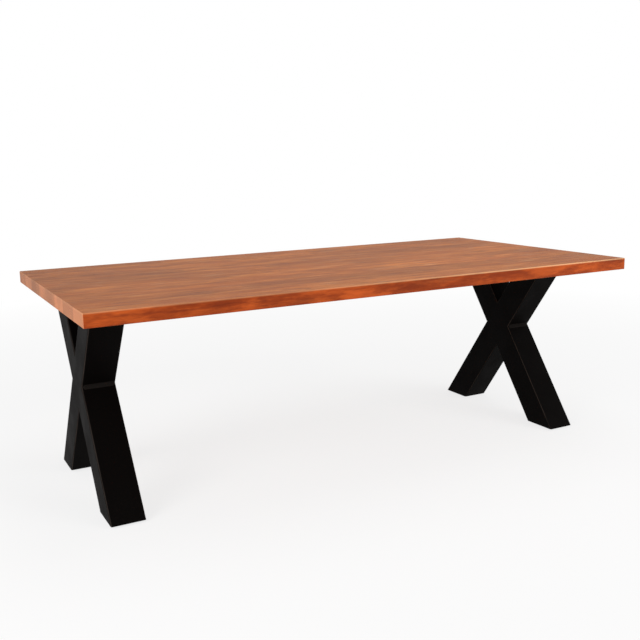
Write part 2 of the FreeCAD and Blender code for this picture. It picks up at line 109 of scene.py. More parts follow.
# %% [markdown]
# A finish is a material made of nodes. It could be wired by hand in the shader editor, but a script
# can be read, compared and run again. These two helpers keep it readable: each call adds one node,
# and an input takes either a plain value or the output of an earlier node.

# %% Adding nodes


def fill(tree, socket, value):
    """Link an output to a socket, or set the socket's constant."""
    if isinstance(value, bpy.types.NodeSocket):
        tree.links.new(value, socket)
    else:
        socket.default_value = value


def add_node(tree, kind, inputs=(), **settings):
    """A new node in a tree, with its settings and its inputs filled in."""
    made = tree.nodes.new(kind)
    for key, value in settings.items():
        setattr(made, key, value)
    for key, value in dict(inputs).items():
        fill(tree, made.inputs[key], value)
    return made


print("nodes: an input takes a value or another node's output")

# %% [markdown]
# Every finish of the table is one Principled shader. A mix of several shaders could look the same,
# but an exported model keeps little beyond what Principled describes. All the patterns read Object
# coordinates, which on these pieces are the table's own metres. UV maps could carry them too, but
# would need unwrapping and would show seams. Below, a name that ends in NOISE holds a noise's ripples
# per metre along X, Y and Z, then its detail and roughness.

# %% A finish


class Finish:
    """A node material with one Principled shader, built up by short calls."""

    def __init__(self, name, **sockets):
        self.material = bpy.data.materials.new(name)
        self.material.use_nodes = True
        self.tree = self.material.node_tree
        self.shader = self.tree.nodes["Principled BSDF"]
        for socket, value in sockets.items():
            self.put(socket.replace("_", " "), value)
        self.place = self.add("ShaderNodeTexCoord").outputs["Object"]

    def put(self, socket, value):
        """Fill in one of the shader's sockets by its name."""
        fill(self.tree, self.shader.inputs[socket], value)

    def add(self, kind, inputs=(), **settings):
        """A new node of this finish."""
        return add_node(self.tree, kind, inputs, **settings)

    def math(self, operation, first, second=0.0, third=0.0):
        """One step of arithmetic on numbers."""
        made = self.add("ShaderNodeMath", {0: first, 1: second, 2: third}, operation=operation)
        return made.outputs[0]

    def vector(self, operation, first, second=(0.0, 0.0, 0.0)):
        """One step of arithmetic on vectors; a length comes back as a number."""
        made = self.add("ShaderNodeVectorMath", {0: first, 1: second}, operation=operation)
        return made.outputs["Value" if operation in ("LENGTH", "DOT_PRODUCT") else "Vector"]

    def noise(self, place, stretch, detail=2.0, roughness=0.5):
        """Soft noise from 0 to 1; stretch gives its ripples per metre along X, Y and Z."""
        scaled = self.vector("MULTIPLY", place, stretch)
        made = self.add(
            "ShaderNodeTexNoise",
            {"Vector": scaled, "Scale": 1.0, "Detail": detail, "Roughness": roughness},
        )
        return made.outputs["Fac"]

    def ramp(self, value, low, high, to_low=0.0, to_high=1.0):
        """A smooth step of a value from one range to another."""
        made = self.add(
            "ShaderNodeMapRange",
            {"Value": value, "From Min": low, "From Max": high, "To Min": to_low, "To Max": to_high},
            interpolation_type="SMOOTHSTEP",
        )
        return made.outputs["Result"]

    def blend(self, share, first, second, kind="MIX"):
        """A colour between two colours, or a colour multiplied by another."""
        # Of the Mix node's sockets, 6 and 7 are its two colours, and output 2 is the mixed one.
        inputs = {0: share, 6: first, 7: second}
        made = self.add("ShaderNodeMix", inputs, data_type="RGBA", blend_type=kind)
        return made.outputs[2]

    def bump(self, height, depth):
        """Relief on the surface, as deep as depth in metres where the height goes from 0 to 1."""
        made = self.add("ShaderNodeBump", {"Height": height, "Strength": 1.0, "Distance": depth})
        self.put("Normal", made.outputs["Normal"])


def dress(finish, *names):
    """Give CAD nodes a finish in place of their plain colour."""
    for name in names:
        nodes[name].data.materials.clear()
        nodes[name].data.materials.append(finish.material)


print("finishes: one Principled shader each, on Object coordinates")

# %% [markdown]
# The top is an orange-brown hardwood, planed flat and oiled. A picture laid on it would repeat and
# would not turn the corner onto the ends. Real boards look right on every side because they are cut
# from a log: growth rings run as arcs on the end and as long streaks on the face. So the colour is
# worked out in the log. A point's distance from the pith gives its ring, slow noise that is stretched
# along the log makes the rings sway, and near a knot they swell around it. Some boards have no knot.

# %% Rings and knots
RING_WIDTH = 0.0085
RING_SWAY, RING_SWAY_NOISE = 0.055, ((0.8, 4.0, 4.0), 3.0)
RING_RIPPLE, RING_RIPPLE_NOISE = 0.006, ((5.0, 22.0, 22.0), 3.0)
RING_GROWS, RING_ENDS = (0.1, 0.9), (0.93, 1.0)
KNOT_STRETCH = (0.45, 1.0, 0.35)
KNOT_REACH, KNOT_SWELL, KNOT_HEART = 0.040, 0.020, 0.0095


def place_in_log(finish, low, high, pith_across, pith_below, shift, lean):
    """A point's place in its log, whose pith lies along X beside and below the board and leans."""
    middle = (low.y + high.y) / 2
    settings = {
        "Vector": finish.place,
        "Location": (shift, -middle - pith_across, -low.z + pith_below),
        "Rotation": (0.0, lean / 2, lean),
    }
    return finish.add("ShaderNodeMapping", settings).outputs["Vector"]


def rings_and_hearts(finish, log, low, high, knots):
    """How late in its ring a point grew, from 0 to 1, and how near it is to the heart of a knot.

    The distance from the pith, plus sway, ripple and the swell of the knots, is divided by the width
    of a ring. The fraction that is left says how late: it rises slowly and drops where the ring ends.
    """
    across = finish.vector("MULTIPLY", log, (0.0, 1.0, 1.0))
    distance = finish.vector("LENGTH", across)
    for reach, noise in ((RING_SWAY, RING_SWAY_NOISE), (RING_RIPPLE, RING_RIPPLE_NOISE)):
        distance = finish.math("MULTIPLY_ADD", finish.noise(log, *noise), reach, distance)
    heart = 0.0
    for along, side in knots:
        knot = (along, (low.y + high.y) / 2 + side * (high.y - low.y) / 2, high.z)
        away = finish.vector("SUBTRACT", finish.place, knot)
        away = finish.vector("LENGTH", finish.vector("MULTIPLY", away, KNOT_STRETCH))
        swell = finish.ramp(away, KNOT_HEART / 2, KNOT_REACH, KNOT_SWELL, 0.0)
        distance = finish.math("ADD", distance, swell)
        heart = finish.math("MAXIMUM", heart, finish.ramp(away, KNOT_HEART / 3, KNOT_HEART, 1.0, 0.0))
    ring = finish.math("FRACT", finish.math("DIVIDE", distance, RING_WIDTH))
    late = finish.math("MULTIPLY", finish.ramp(ring, *RING_GROWS), finish.ramp(ring, *RING_ENDS, 1.0, 0.0))
    return late, heart


print("wood: a ring each", RING_WIDTH * 1000, "mm")

# %% [markdown]
# Over the rings lie the marks that make this wood look alive: wide flames of a paler and a redder
# brown, long dark streaks, short darker dashes, a few pale flecks, then fibres and open pores that
# only show close up. One noise of much detail could give marks of every size, but all of one form and
# colour. So each kind of mark is a layer of its own, which is stretched along the grain and blended
# over the last. A name that ends in SHOWS says at which noise a mark begins and is full, and its share
# of the colour at both.

# %% Colours of the grain
PALE_WOOD = (0.60, 0.195, 0.034, 1)
RED_WOOD = (0.42, 0.110, 0.014, 1)
DARK_WOOD = (0.19, 0.046, 0.012, 1)
DASH_WOOD = (0.150, 0.048, 0.019, 1)
FLECK_WOOD = (0.62, 0.34, 0.16, 1)
PORE_WOOD = (0.08, 0.020, 0.008, 1)
STREAK_NOISE, STREAK_SHOWS = ((7.0, 62.0, 62.0), 4.0, 0.65), (0.54, 0.70, 0.0, 0.55)
DASH_NOISE, DASH_SHOWS = ((6.5, 96.0, 96.0), 2.0, 0.55), (0.55, 0.66, 0.0, 0.60)
FLECK_NOISE, FLECK_SHOWS = ((6.5, 34.0, 34.0), 2.0, 0.5), (0.60, 0.74, 0.0, 0.45)
FIBRE_SHOWS, PORE_SHOWS = (0.35, 0.75, 0.0, 0.30), (0.62, 0.72, 0.0, 0.55)
FLAME_SHARE, FLAME_RANGE = 0.6, (0.40, 0.60)
LATE_SHARE, HEART_SHARE = 0.34, 0.5


def grain_colour(finish, log, late, heart, flame, fibre, pore):
    """The colour of a planed face, from its rings and from layers of noise."""
    streak = finish.noise(log, *STREAK_NOISE)
    dash = finish.noise(log, *DASH_NOISE)
    fleck = finish.noise(log, *FLECK_NOISE)
    streak_part = finish.math("MULTIPLY", streak, 1 - FLAME_SHARE)
    mixed = finish.math("MULTIPLY_ADD", flame, FLAME_SHARE, streak_part)
    colour = finish.blend(finish.ramp(mixed, *FLAME_RANGE), RED_WOOD, PALE_WOOD)
    layers = (
        (finish.ramp(fleck, *FLECK_SHOWS), FLECK_WOOD),
        (finish.math("MULTIPLY", late, LATE_SHARE), DARK_WOOD),
        (finish.ramp(streak, *STREAK_SHOWS), DARK_WOOD),
        (finish.ramp(dash, *DASH_SHOWS), DASH_WOOD),
        (finish.ramp(fibre, *FIBRE_SHOWS), DARK_WOOD),
        (finish.ramp(pore, *PORE_SHOWS), PORE_WOOD),
        (finish.math("MULTIPLY", heart, HEART_SHARE), PORE_WOOD),
    )
    for share, wood in layers:
        colour = finish.blend(share, colour, wood)
    return colour


print("grain: flames, flecks, streaks, dashes, fibres and pores over the rings")

# %% [markdown]
# The rim of the slab looks different from its face. The long edges drank more oil and glow redder,
# with strong flames; the ends show paler end grain, a little different on each board; and a pale
# line is painted along the eased arris of the front, more of it to the right, and a little along the
# top of the ends: a painted highlight where the round arris catches the light. Between two boards
# runs the thin dark line of a glued joint.
# These faces could be given materials of their own, but then a colour would stop dead at an edge. Here
# a point's distance from the rim says how much of the rim's colour it takes, so the change is soft.

# %% Rim and joints
END_WOOD = (0.70, 0.285, 0.140, 1)
END_RING = (0.34, 0.105, 0.042, 1)
ARRIS_HIGHLIGHT = (0.90, 0.50, 0.25, 1)
EDGE_TINT = (1.0, 0.54, 0.36, 1)
EDGE_RED = (0.26, 0.033, 0.005, 1)
EDGE_ORANGE = (0.62, 0.108, 0.017, 1)
ARRIS, ARRIS_HIGHLIGHT_WIDTH = 0.0024, 0.0055
ARRIS_HIGHLIGHT_FROM = (-0.5, 0.6)
ARRIS_HIGHLIGHT_SHARES, END_ARRIS_HIGHLIGHT_SHARE = (0.3, 0.8), 0.2
BLOTCH_NOISE, BLOTCH_RANGE = ((5.5, 24.0, 24.0), 4.0, 0.6), (0.40, 0.60)
EDGE_FLAMES_SHOW = (0.35, 0.65, 0.74, 0.44)
END_SHARE, END_LATE_SHARE, END_PORE_SHOWS = 0.75, 0.4, (0.58, 0.70, 0.0, 0.5)
JOINT_LINE, JOINT_SHARE = (0.0003, 0.0011), 0.6

slab_low = Vector((cad_low.x, cad_low.y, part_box("top_board_1")[0].z))
slab_high = Vector((cad_high.x, cad_high.y, cad_high.z))


def near_rim(finish, place, rim, width=ARRIS):
    """A share that goes from 0 to 1 within a width of a rim of the slab."""
    return finish.ramp(place, rim - width, rim - width / 3)


def edge_colour(finish, log, colour, fibre):
    """The grain of a long edge: redder, with blotches of red and orange between its fibres."""
    blotch = finish.noise(log, *BLOTCH_NOISE)
    flames = finish.blend(finish.ramp(blotch, *BLOTCH_RANGE), EDGE_RED, EDGE_ORANGE)
    tinted = finish.blend(1.0, colour, EDGE_TINT, "MULTIPLY")
    return finish.blend(finish.ramp(fibre, *EDGE_FLAMES_SHOW), tinted, flames)


def end_colour(finish, late, pore, tint):
    """The end grain of one board: its rings as darker arcs, dotted with open pores."""
    wood = tuple(part * tint ** 2 for part in END_WOOD[:3]) + (1,)
    arcs = finish.math("MULTIPLY", late, END_LATE_SHARE)
    dark = finish.math("MAXIMUM", arcs, finish.ramp(pore, *END_PORE_SHOWS))
    return finish.blend(dark, wood, END_RING)


def rim_colour(finish, log, colour, late, fibre, pore, at, low, high, tint):
    """The face's colour changed on the long edges, the ends and the joints, with a painted highlight on
    the arris.
    """
    on_side = near_rim(finish, finish.math("ABSOLUTE", at["Y"]), slab_high.y)
    on_end = near_rim(finish, finish.math("ABSOLUTE", at["X"]), slab_high.x)
    colour = finish.blend(on_side, colour, edge_colour(finish, log, colour, fibre))
    end_part = finish.math("MULTIPLY", on_end, END_SHARE)
    colour = finish.blend(end_part, colour, end_colour(finish, late, pore, tint))
    # Painted highlight: a pale line along the top arris of the front, stronger towards the right, and
    # weaker along the top of the ends.
    at_front = near_rim(finish, finish.math("MULTIPLY", at["Y"], -1.0), slab_high.y, ARRIS_HIGHLIGHT_WIDTH)
    at_top = near_rim(finish, at["Z"], slab_high.z, ARRIS_HIGHLIGHT_WIDTH)
    painted_highlight = finish.math("MULTIPLY", at_front, finish.ramp(at["X"], *ARRIS_HIGHLIGHT_FROM, *ARRIS_HIGHLIGHT_SHARES))
    painted_highlight = finish.math("MAXIMUM", painted_highlight, finish.math("MULTIPLY", on_end, END_ARRIS_HIGHLIGHT_SHARE))
    colour = finish.blend(finish.math("MULTIPLY", painted_highlight, at_top), colour, ARRIS_HIGHLIGHT)
    from_front = finish.math("SUBTRACT", at["Y"], low.y)
    from_back = finish.math("SUBTRACT", high.y, at["Y"])
    seam = finish.ramp(finish.math("MINIMUM", from_front, from_back), *JOINT_LINE, JOINT_SHARE, 0.0)
    joint = finish.math("MULTIPLY", seam, finish.math("SUBTRACT", 1.0, on_side))
    return finish.blend(joint, colour, DARK_WOOD), on_side


print("rim: slab", [round(v, 3) for v in slab_high - slab_low])

# %% [markdown]
# Now the layers come together, once for each board: its own log, tint and knots. One finish could
# serve all the boards, but the grain would then run on across the joints, as if the slab were one wide
# plank. A slow cloud makes some stretches of the slab darker, and the left end is darker as a whole.
# Fibres and pores also give the oil its uneven shine and a relief of a quarter of a millimetre at most.

# %% Finish of the boards
FLAME_NOISE = ((3.2, 20.0, 20.0), 4.0, 0.6)
FIBRE_NOISE = ((9.0, 620.0, 620.0), 3.0, 0.65)
PORE_NOISE = ((55.0, 1500.0, 1500.0), 1.0)
CLOUD_NOISE, CLOUD_RANGE, CLOUD_SHADES = ((2.4, 7.0, 7.0), 3.0), (0.35, 0.65), (0.84, 1.10)
LEFT_SHADE, LEFT_REACH = 0.87, (-1.1, -0.1)
EDGE_RANGE, EDGE_SHADES = (0.38, 0.62), (0.82, 1.08)
WOOD_GLOSS, WOOD_ROUGHNESS = 0.13, (0.25, 0.8, 0.48, 0.62)
WOOD_RELIEF, FIBRE_HEIGHT, PIT_DEPTHS = 0.00025, 0.35, (0.6, 0.75, 0.0, 0.5)


def board_finish(name, tint, pith_across, pith_below, shift, lean, knots):
    """Oiled hardwood for one board."""
    low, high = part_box(name)
    finish = Finish(f"oiled_wood_{name}", Specular_IOR_Level=WOOD_GLOSS)
    log = place_in_log(finish, low, high, pith_across, pith_below, shift, lean)
    flame = finish.noise(log, *FLAME_NOISE)
    fibre = finish.noise(finish.place, *FIBRE_NOISE)
    pore = finish.noise(finish.place, *PORE_NOISE)
    late, heart = rings_and_hearts(finish, log, low, high, knots)
    colour = grain_colour(finish, log, late, heart, flame, fibre, pore)
    at = finish.add("ShaderNodeSeparateXYZ", {"Vector": finish.place}).outputs
    colour, on_side = rim_colour(finish, log, colour, late, fibre, pore, at, low, high, tint)

    cloud = finish.ramp(finish.noise(finish.place, *CLOUD_NOISE), *CLOUD_RANGE, *CLOUD_SHADES)
    left = finish.ramp(at["X"], *LEFT_REACH, LEFT_SHADE, 1.0)
    face = finish.math("MULTIPLY", finish.math("MULTIPLY", cloud, left), tint)
    edge = finish.math("MULTIPLY", finish.ramp(flame, *EDGE_RANGE, *EDGE_SHADES), tint)
    edge_part = finish.math("MULTIPLY", on_side, finish.math("SUBTRACT", edge, face))
    shade = finish.math("ADD", face, edge_part)
    shaded = finish.add("ShaderNodeHueSaturation", {"Color": colour, "Value": shade})
    finish.put("Base Color", shaded.outputs["Color"])
    finish.put("Roughness", finish.ramp(fibre, *WOOD_ROUGHNESS))
    ridges = finish.math("MULTIPLY", fibre, FIBRE_HEIGHT)
    finish.bump(finish.math("SUBTRACT", ridges, finish.ramp(pore, *PIT_DEPTHS)), WOOD_RELIEF)
    return finish


# Board, tint, pith beside and below it, shift along the log, lean, and knots: place along, share across.
BOARD_LOOKS = (
    ("top_board_1", 1.02, 0.120, -0.020, 0.30, 0.022, ((-0.35, -0.5),)),
    ("top_board_2", 0.93, -0.030, 0.045, 1.10, -0.016, ()),
    ("top_board_3", 1.05, 0.045, 0.090, 2.70, 0.010, ((0.71, 0.4),)),
    ("top_board_4", 0.97, -0.015, 0.035, 3.60, -0.009, ((-0.28, 0.1),)),
    ("top_board_5", 1.00, 0.038, 0.070, 4.90, 0.018, ()),
    ("top_board_6", 0.90, -0.040, 0.055, 6.20, -0.012, ((-0.55, -0.4),)),
    ("top_board_7", 1.03, 0.012, 0.050, 7.40, 0.015, ((0.15, 0.3),)),
    ("top_board_8", 0.95, -0.022, 0.080, 8.80, -0.014, ((0.5, 0.4),)),
)
for look in BOARD_LOOKS:
    dress(board_finish(*look), look[0])
print("boards:", len(BOARD_LOOKS), "finishes")

# %% [markdown]
# The tubes of a frame lean, one forwards and one back, and cross a little above half height. Both the
# coat on their corners and the welds between them need that lean. It could be typed in, but worked
# out from where a leveller stands, from the height of the frame and from how far apart the arms are at
# the plate, it follows the frame when a foot or the height moves.

# %% Lean of the tubes
SIDES = ("left", "right")
TOP_SPREAD = 0.215


def crossing_of(side):
    """The point where the tubes of a frame cross, and how far they lean from upright.

    The crossing parts the rise of the frame in the ratio of the spread at the feet to the spread at
    the plate. The tangent of the lean is the sum of both spreads over the rise.
    """
    low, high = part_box(f"{side}_long_tube")
    stud_low, stud_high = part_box(f"{side}_back_leveller_stud")
    foot_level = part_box(f"{side}_back_foot_plate")[0].z
    foot = (stud_low.y + stud_high.y) / 2
    rise = high.z - foot_level
    level = foot_level + rise * foot / (foot + TOP_SPREAD)
    return Vector(((low.x + high.x) / 2, 0, level)), math.atan2(foot + TOP_SPREAD, rise)


for side in SIDES:
    crossing, lean = crossing_of(side)
    print(side, "frame crosses at", round(crossing.z, 3), "m and leans", round(math.degrees(lean), 1))

# %% [markdown]
# The frames, plates and channels carry a satin black powder coat. Powder melts into a skin with a
# fine orange-peel ripple, so the finish has a small bump and a roughness that wanders a little.
# Near the floor it picks up a trace of dust and scuffs. On the round corners of a tube a paler line
# is painted in and broken up by a slow cloud: a painted highlight for the sheen of a round corner.
# A plain black would be simpler, but then the faces of a tube would run into each other. To find the
# corners, a point is turned back by the tube's lean, which makes the tube upright: it is on a corner
# where both its distances from the axis are large.

# %% Finish of the coated steel
COAT_BLACK = (0.0022, 0.0016, 0.0014, 1)
COAT_DUST = (0.007, 0.0055, 0.005, 1)
COAT_CORNER_HIGHLIGHT = (0.044, 0.034, 0.029, 1)
COAT_ON_WELD = (0.011, 0.009, 0.008, 1)
TUBE_HALF = 0.060
CORNER_HIGHLIGHT_DEPTHS, CORNER_HIGHLIGHT_CLOUD = (0.0046, 0.0014), (0.35, 0.65, 0.35, 1.0)
PEEL_NOISE, COAT_PEEL = ((420.0, 420.0, 420.0), 2.0), 0.00006
HAZE_NOISE = ((7.0, 7.0, 7.0), 4.0, 0.6)
SCUFF_NOISE, SCUFF_RANGE = ((60.0, 60.0, 240.0), 4.0, 0.7), (0.48, 0.72)
DUST_LEVELS = (0.01, 0.12, 0.5, 0.06)
COAT_GLOSS, COAT_ROUGHNESS = 0.02, (0.3, 0.7, 0.52, 0.64)


def coat_finish(name, centre=None, turn=0.0, skin=COAT_BLACK):
    """Satin black powder coat, with dust low down and, on a tube, a painted highlight on its corners."""
    finish = Finish(name, Specular_IOR_Level=COAT_GLOSS)
    peel = finish.noise(finish.place, *PEEL_NOISE)
    haze = finish.noise(finish.place, *HAZE_NOISE)
    scuff = finish.noise(finish.place, *SCUFF_NOISE)
    height = finish.add("ShaderNodeSeparateXYZ", {"Vector": finish.place}).outputs["Z"]
    low_down = finish.ramp(height, *DUST_LEVELS)
    dust = finish.math("MULTIPLY", low_down, finish.ramp(scuff, *SCUFF_RANGE))
    colour = finish.blend(dust, skin, COAT_DUST)
    if centre:
        settings = {"Vector": finish.place, "Center": centre, "Angle": turn}
        upright = finish.add("ShaderNodeVectorRotate", settings, rotation_type="X_AXIS")
        aside = finish.vector("SUBTRACT", upright.outputs["Vector"], centre)
        aside = finish.vector("ABSOLUTE", aside)
        aside = finish.add("ShaderNodeSeparateXYZ", {"Vector": aside}).outputs
        both = finish.math("MINIMUM", aside["X"], aside["Y"])
        # Painted highlight: a paler colour on the round corners of the tube, broken up by a slow cloud.
        corner = finish.ramp(both, *(TUBE_HALF - depth for depth in CORNER_HIGHLIGHT_DEPTHS))
        corner = finish.math("MULTIPLY", corner, finish.ramp(haze, *CORNER_HIGHLIGHT_CLOUD))
        colour = finish.blend(corner, colour, COAT_CORNER_HIGHLIGHT)
    finish.put("Base Color", colour)
    finish.put("Roughness", finish.ramp(haze, *COAT_ROUGHNESS))
    finish.bump(peel, COAT_PEEL)
    return finish


PLAIN_PIECES = ("mounting_plate", "stiffener_channel")
LONG_PIECES = ("long_tube", "back_foot_plate")
HALF_PIECES = ("upper_tube", "lower_tube", "front_foot_plate")
coat = coat_finish("black_powder_coat")
weld_coat = coat_finish("black_coat_on_welds", skin=COAT_ON_WELD)
for side in SIDES:
    crossing, lean = crossing_of(side)
    long_coat = coat_finish(f"black_coat_{side}_long", crossing, -lean)
    half_coat = coat_finish(f"black_coat_{side}_halves", crossing, lean)
    for finish, pieces in ((coat, PLAIN_PIECES), (long_coat, LONG_PIECES), (half_coat, HALF_PIECES)):
        dress(finish, *(f"{side}_{piece}" for piece in pieces))
print("coated steel:", len(SIDES) * len(PLAIN_PIECES + LONG_PIECES + HALF_PIECES), "nodes")

# %% [markdown]
# Bolts, screws, washers, inserts, nuts and studs are zinc-plated steel: a grey metal with a faint
# cloudy tint and fine turning marks. The leveller pads are black nylon with a matt moulded skin. Marks
# and pebbles could be part of the meshes, but they are less than a tenth of a millimetre deep, and a
# bump shows that as well with far fewer faces.

# %% Finishes of the hardware
ZINC_LIGHT = (0.62, 0.62, 0.60, 1)
ZINC_TINT = (0.50, 0.49, 0.44, 1)
NYLON_BLACK = (0.018, 0.018, 0.018, 1)
NYLON_WORN = (0.045, 0.044, 0.042, 1)
TINT_NOISE, TINT_RANGE = ((160.0, 160.0, 160.0), 3.0, 0.6), (0.35, 0.65)
MARK_NOISE, MARK_DEPTH = ((900.0, 900.0, 5200.0), 2.0), 0.00002
ZINC_ROUGHNESS = (0.3, 0.7, 0.28, 0.46)
PEBBLE_NOISE, PEBBLE_DEPTH = ((1400.0, 1400.0, 1400.0), 2.0), 0.00008
RUB_NOISE, RUB_RANGE = ((240.0, 240.0, 90.0), 3.0, 0.65), (0.5, 0.75)
NYLON_GLOSS, NYLON_ROUGHNESS = 0.35, (0.3, 0.7, 0.48, 0.66)


def zinc_finish():
    """Zinc plate: clouds of two greys, fine marks across it and a soft shine."""
    finish = Finish("zinc_steel", Metallic=1.0)
    tint = finish.ramp(finish.noise(finish.place, *TINT_NOISE), *TINT_RANGE)
    marks = finish.noise(finish.place, *MARK_NOISE)
    finish.put("Base Color", finish.blend(tint, ZINC_LIGHT, ZINC_TINT))
    finish.put("Roughness", finish.ramp(marks, *ZINC_ROUGHNESS))
    finish.bump(marks, MARK_DEPTH)
    return finish


def nylon_finish():
    """Moulded black nylon with a pebbled skin, paler where it has rubbed on the floor."""
    finish = Finish("black_nylon", Specular_IOR_Level=NYLON_GLOSS)
    pebble = finish.noise(finish.place, *PEBBLE_NOISE)
    rub = finish.noise(finish.place, *RUB_NOISE)
    finish.put("Base Color", finish.blend(finish.ramp(rub, *RUB_RANGE), NYLON_BLACK, NYLON_WORN))
    finish.put("Roughness", finish.ramp(rub, *NYLON_ROUGHNESS))
    finish.bump(pebble, PEBBLE_DEPTH)
    return finish


CORNERS = [f"{side}_{foot}" for side in SIDES for foot in ("front", "back")]
zinc = zinc_finish()
nylon = nylon_finish()
for side in SIDES:
    dress(zinc, f"{side}_top_inserts")
for corner in CORNERS:
    dress(zinc, f"{corner}_foot_nut")
print("zinc and nylon:", len(SIDES), "sets of inserts,", len(CORNERS), "nuts dressed")

# %% [markdown]
# Bolts, studs, screws, washers and pads are turned or rolled, so each is a grid of two parameters:
# an angle round the axis and a step along an outline. A spin of a drawn profile would give plain
# round forms only. Working out the radius as a function of both parameters also gives the flats of
# a hexagon and the rise of a thread. From here on the pieces are worked out in millimetres.

# %% Points round an axis
MILLIMETRE = 0.001
TURN = 2 * math.pi


def angles(columns):
    """A full turn in equal steps, as one row of a grid."""
    return np.arange(columns)[None, :] * TURN / columns


def turned(radius, height, angle):
    """Rows of points about the Z axis: the radius times the angle's cosine and sine, and the height."""
    radius, height, angle = np.broadcast_arrays(radius, height, angle)
    return np.stack([radius * np.cos(angle), radius * np.sin(angle), height], axis=-1)


def outline(pairs, angle):
    """A grid from pairs of radius and height, the same at each angle."""
    pairs = np.array(pairs, float)
    return turned(pairs[:, :1], pairs[:, 1:], angle)


def middle_of(node):
    """The middle of a CAD node's box in plan, and its lowest level, in millimetres."""
    low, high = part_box(node)
    return np.array([(low.x + high.x) / 2, (low.y + high.y) / 2, low.z]) / MILLIMETRE


print("axis of a leveller, in millimetres:", middle_of(f"{CORNERS[0]}_leveller_stud").round(1))

# %% [markdown]
# A grid of points is not a surface yet: its neighbours have to be joined into faces, and its ends
# closed, because an open end shows the inside and leaves a hole in the mesh. Blender's own fill tools
# could close each piece after it is made. Arrays of point numbers do it for every piece in the same
# way. The finished object rides on one body of the table and takes the place of its CAD node.

# %% Closed surfaces
SHARP_ANGLE = math.radians(32)


def closed_surface(grid, ring=False):
    """Points, quads and triangles of a closed surface.

    Columns of the grid go once round and join up. Rows go from one end to the other: on a ring they
    join up too, and otherwise each end row is closed by a fan of triangles to its middle.
    """
    rows, columns = grid.shape[:2]
    here = np.arange(rows * columns).reshape(rows, columns)
    beside = np.roll(here, -1, axis=1)
    points = grid.reshape(-1, 3)
    if ring:
        quads = np.stack([here, beside, np.roll(beside, -1, axis=0), np.roll(here, -1, axis=0)], axis=-1)
        return points, quads.reshape(-1, 4), np.empty((0, 3), int)
    quads = np.stack([here[:-1], beside[:-1], beside[1:], here[1:]], axis=-1)
    first = np.full(columns, rows * columns)
    fans = [
        np.stack([first, beside[0], here[0]], axis=-1),
        np.stack([first + 1, here[-1], beside[-1]], axis=-1),
    ]
    points = np.concatenate([points, grid[:1].mean(axis=1), grid[-1:].mean(axis=1)])
    return points, quads.reshape(-1, 4), np.concatenate(fans)


def make_piece(name, surfaces, finish, slot, body, *replaced):
    """One object from closed surfaces in millimetres, which rides on a body in place of CAD nodes."""
    counts = np.cumsum([0] + [len(points) for points, _, _ in surfaces])
    points = np.concatenate([points for points, _, _ in surfaces]) * MILLIMETRE
    quads = np.concatenate([quads + count for (_, quads, _), count in zip(surfaces, counts)])
    fans = np.concatenate([fan + count for (_, _, fan), count in zip(surfaces, counts)])
    mesh = bpy.data.meshes.new(name)
    mesh.from_pydata(points.tolist(), [], quads.tolist() + fans.tolist())
    mesh.polygons.foreach_set("use_smooth", np.ones(len(mesh.polygons), bool))
    mesh.set_sharp_from_angle(angle=SHARP_ANGLE)
    mesh.materials.append(finish.material)
    piece = bpy.data.objects.new(name, mesh)
    bpy.context.scene.collection.objects.link(piece)
    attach(piece, body)
    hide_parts(*replaced)
    print(name, len(surfaces), "surfaces,", len(points), "points")
    return piece


print("surfaces: edges over", round(math.degrees(SHARP_ANGLE)), "degrees stay sharp")

# %% [markdown]
# A screw thread is a ridge that climbs one pitch in each turn. A Screw modifier could sweep a profile
# up into one, but its ends would stay open and would not join a head. In the grid it is one line: the
# height over the pitch, less the angle's share of a turn, gives the place across the ridge, and the
# radius goes up and down with it. The ridge fades out over a pitch at both ends, as a rolled thread
# does.

# %% Threads and hexagons
STEPS_PER_PITCH = 8
HEX_COLUMNS = 48
CHAMFER_SLOPE = math.tan(math.radians(30))
ROLLED_ROOT_SHARE, CREST_SHARE = 0.12, 0.82


def thread(core, crest, pitch, low, high, angle, root_share=ROLLED_ROOT_SHARE):
    """A threaded rod: the radius is the core's plus a clipped triangle wave of height and angle."""
    rows = int((high - low) / pitch * STEPS_PER_PITCH)
    height = np.linspace(low, high, rows + 1)[:, None]
    across = (height / pitch - angle / TURN) % 1
    ridge = np.clip((np.abs(2 * across - 1) - root_share) / (CREST_SHARE - root_share), 0, 1)
    fade = np.clip(np.minimum(height - low, high - height) / pitch, 0, 1)
    return turned(core + (crest - core) * ridge * fade, height, angle)


def hexagon(corner, angle):
    """The radius of a hexagon with a corner on X.

    It is half the width across flats, divided by the cosine of the angle from the middle of the flat.
    """
    sixth = TURN / 6
    flat = corner * math.cos(sixth / 2)
    return flat / np.cos(angle % sixth - sixth / 2)


def chamfered(corner, face_share, low, high, angle, lower, upper):
    """Sides of a hexagonal head; a cone of 30 degrees takes the corners off the chosen faces.

    A side stops short of such a face by its radius beyond the round of the face, times the cone's slope.
    """
    radius = hexagon(corner, angle)
    face = corner * face_share
    drop = (radius - face) * CHAMFER_SLOPE
    rows = [turned(face, low, angle)] if lower else []
    rows.append(turned(radius, low + drop * lower, angle))
    rows.append(turned(radius, high - drop * upper, angle))
    rows += [turned(face, high, angle)] if upper else []
    return np.concatenate(rows)


print("threads:", STEPS_PER_PITCH, "rows to a pitch; hexagons:", HEX_COLUMNS, "columns")

# %% [markdown]
# Each leveller is a stud with a round head that snaps into a nylon pad, a thin hexagonal collar for
# a spanner, and a thread of 10 mm that runs up through the foot plate into its nut. The stud turns
# and the pad does not, so the two are separate pieces on separate bodies. The pad is a moulding with
# soft edges, a ring groove in its top, and a lipped pocket for the stud's head. Both could be stacked
# up from cylinders, but those would only touch or overlap. One grid along the whole outline gives each
# of them one closed surface.

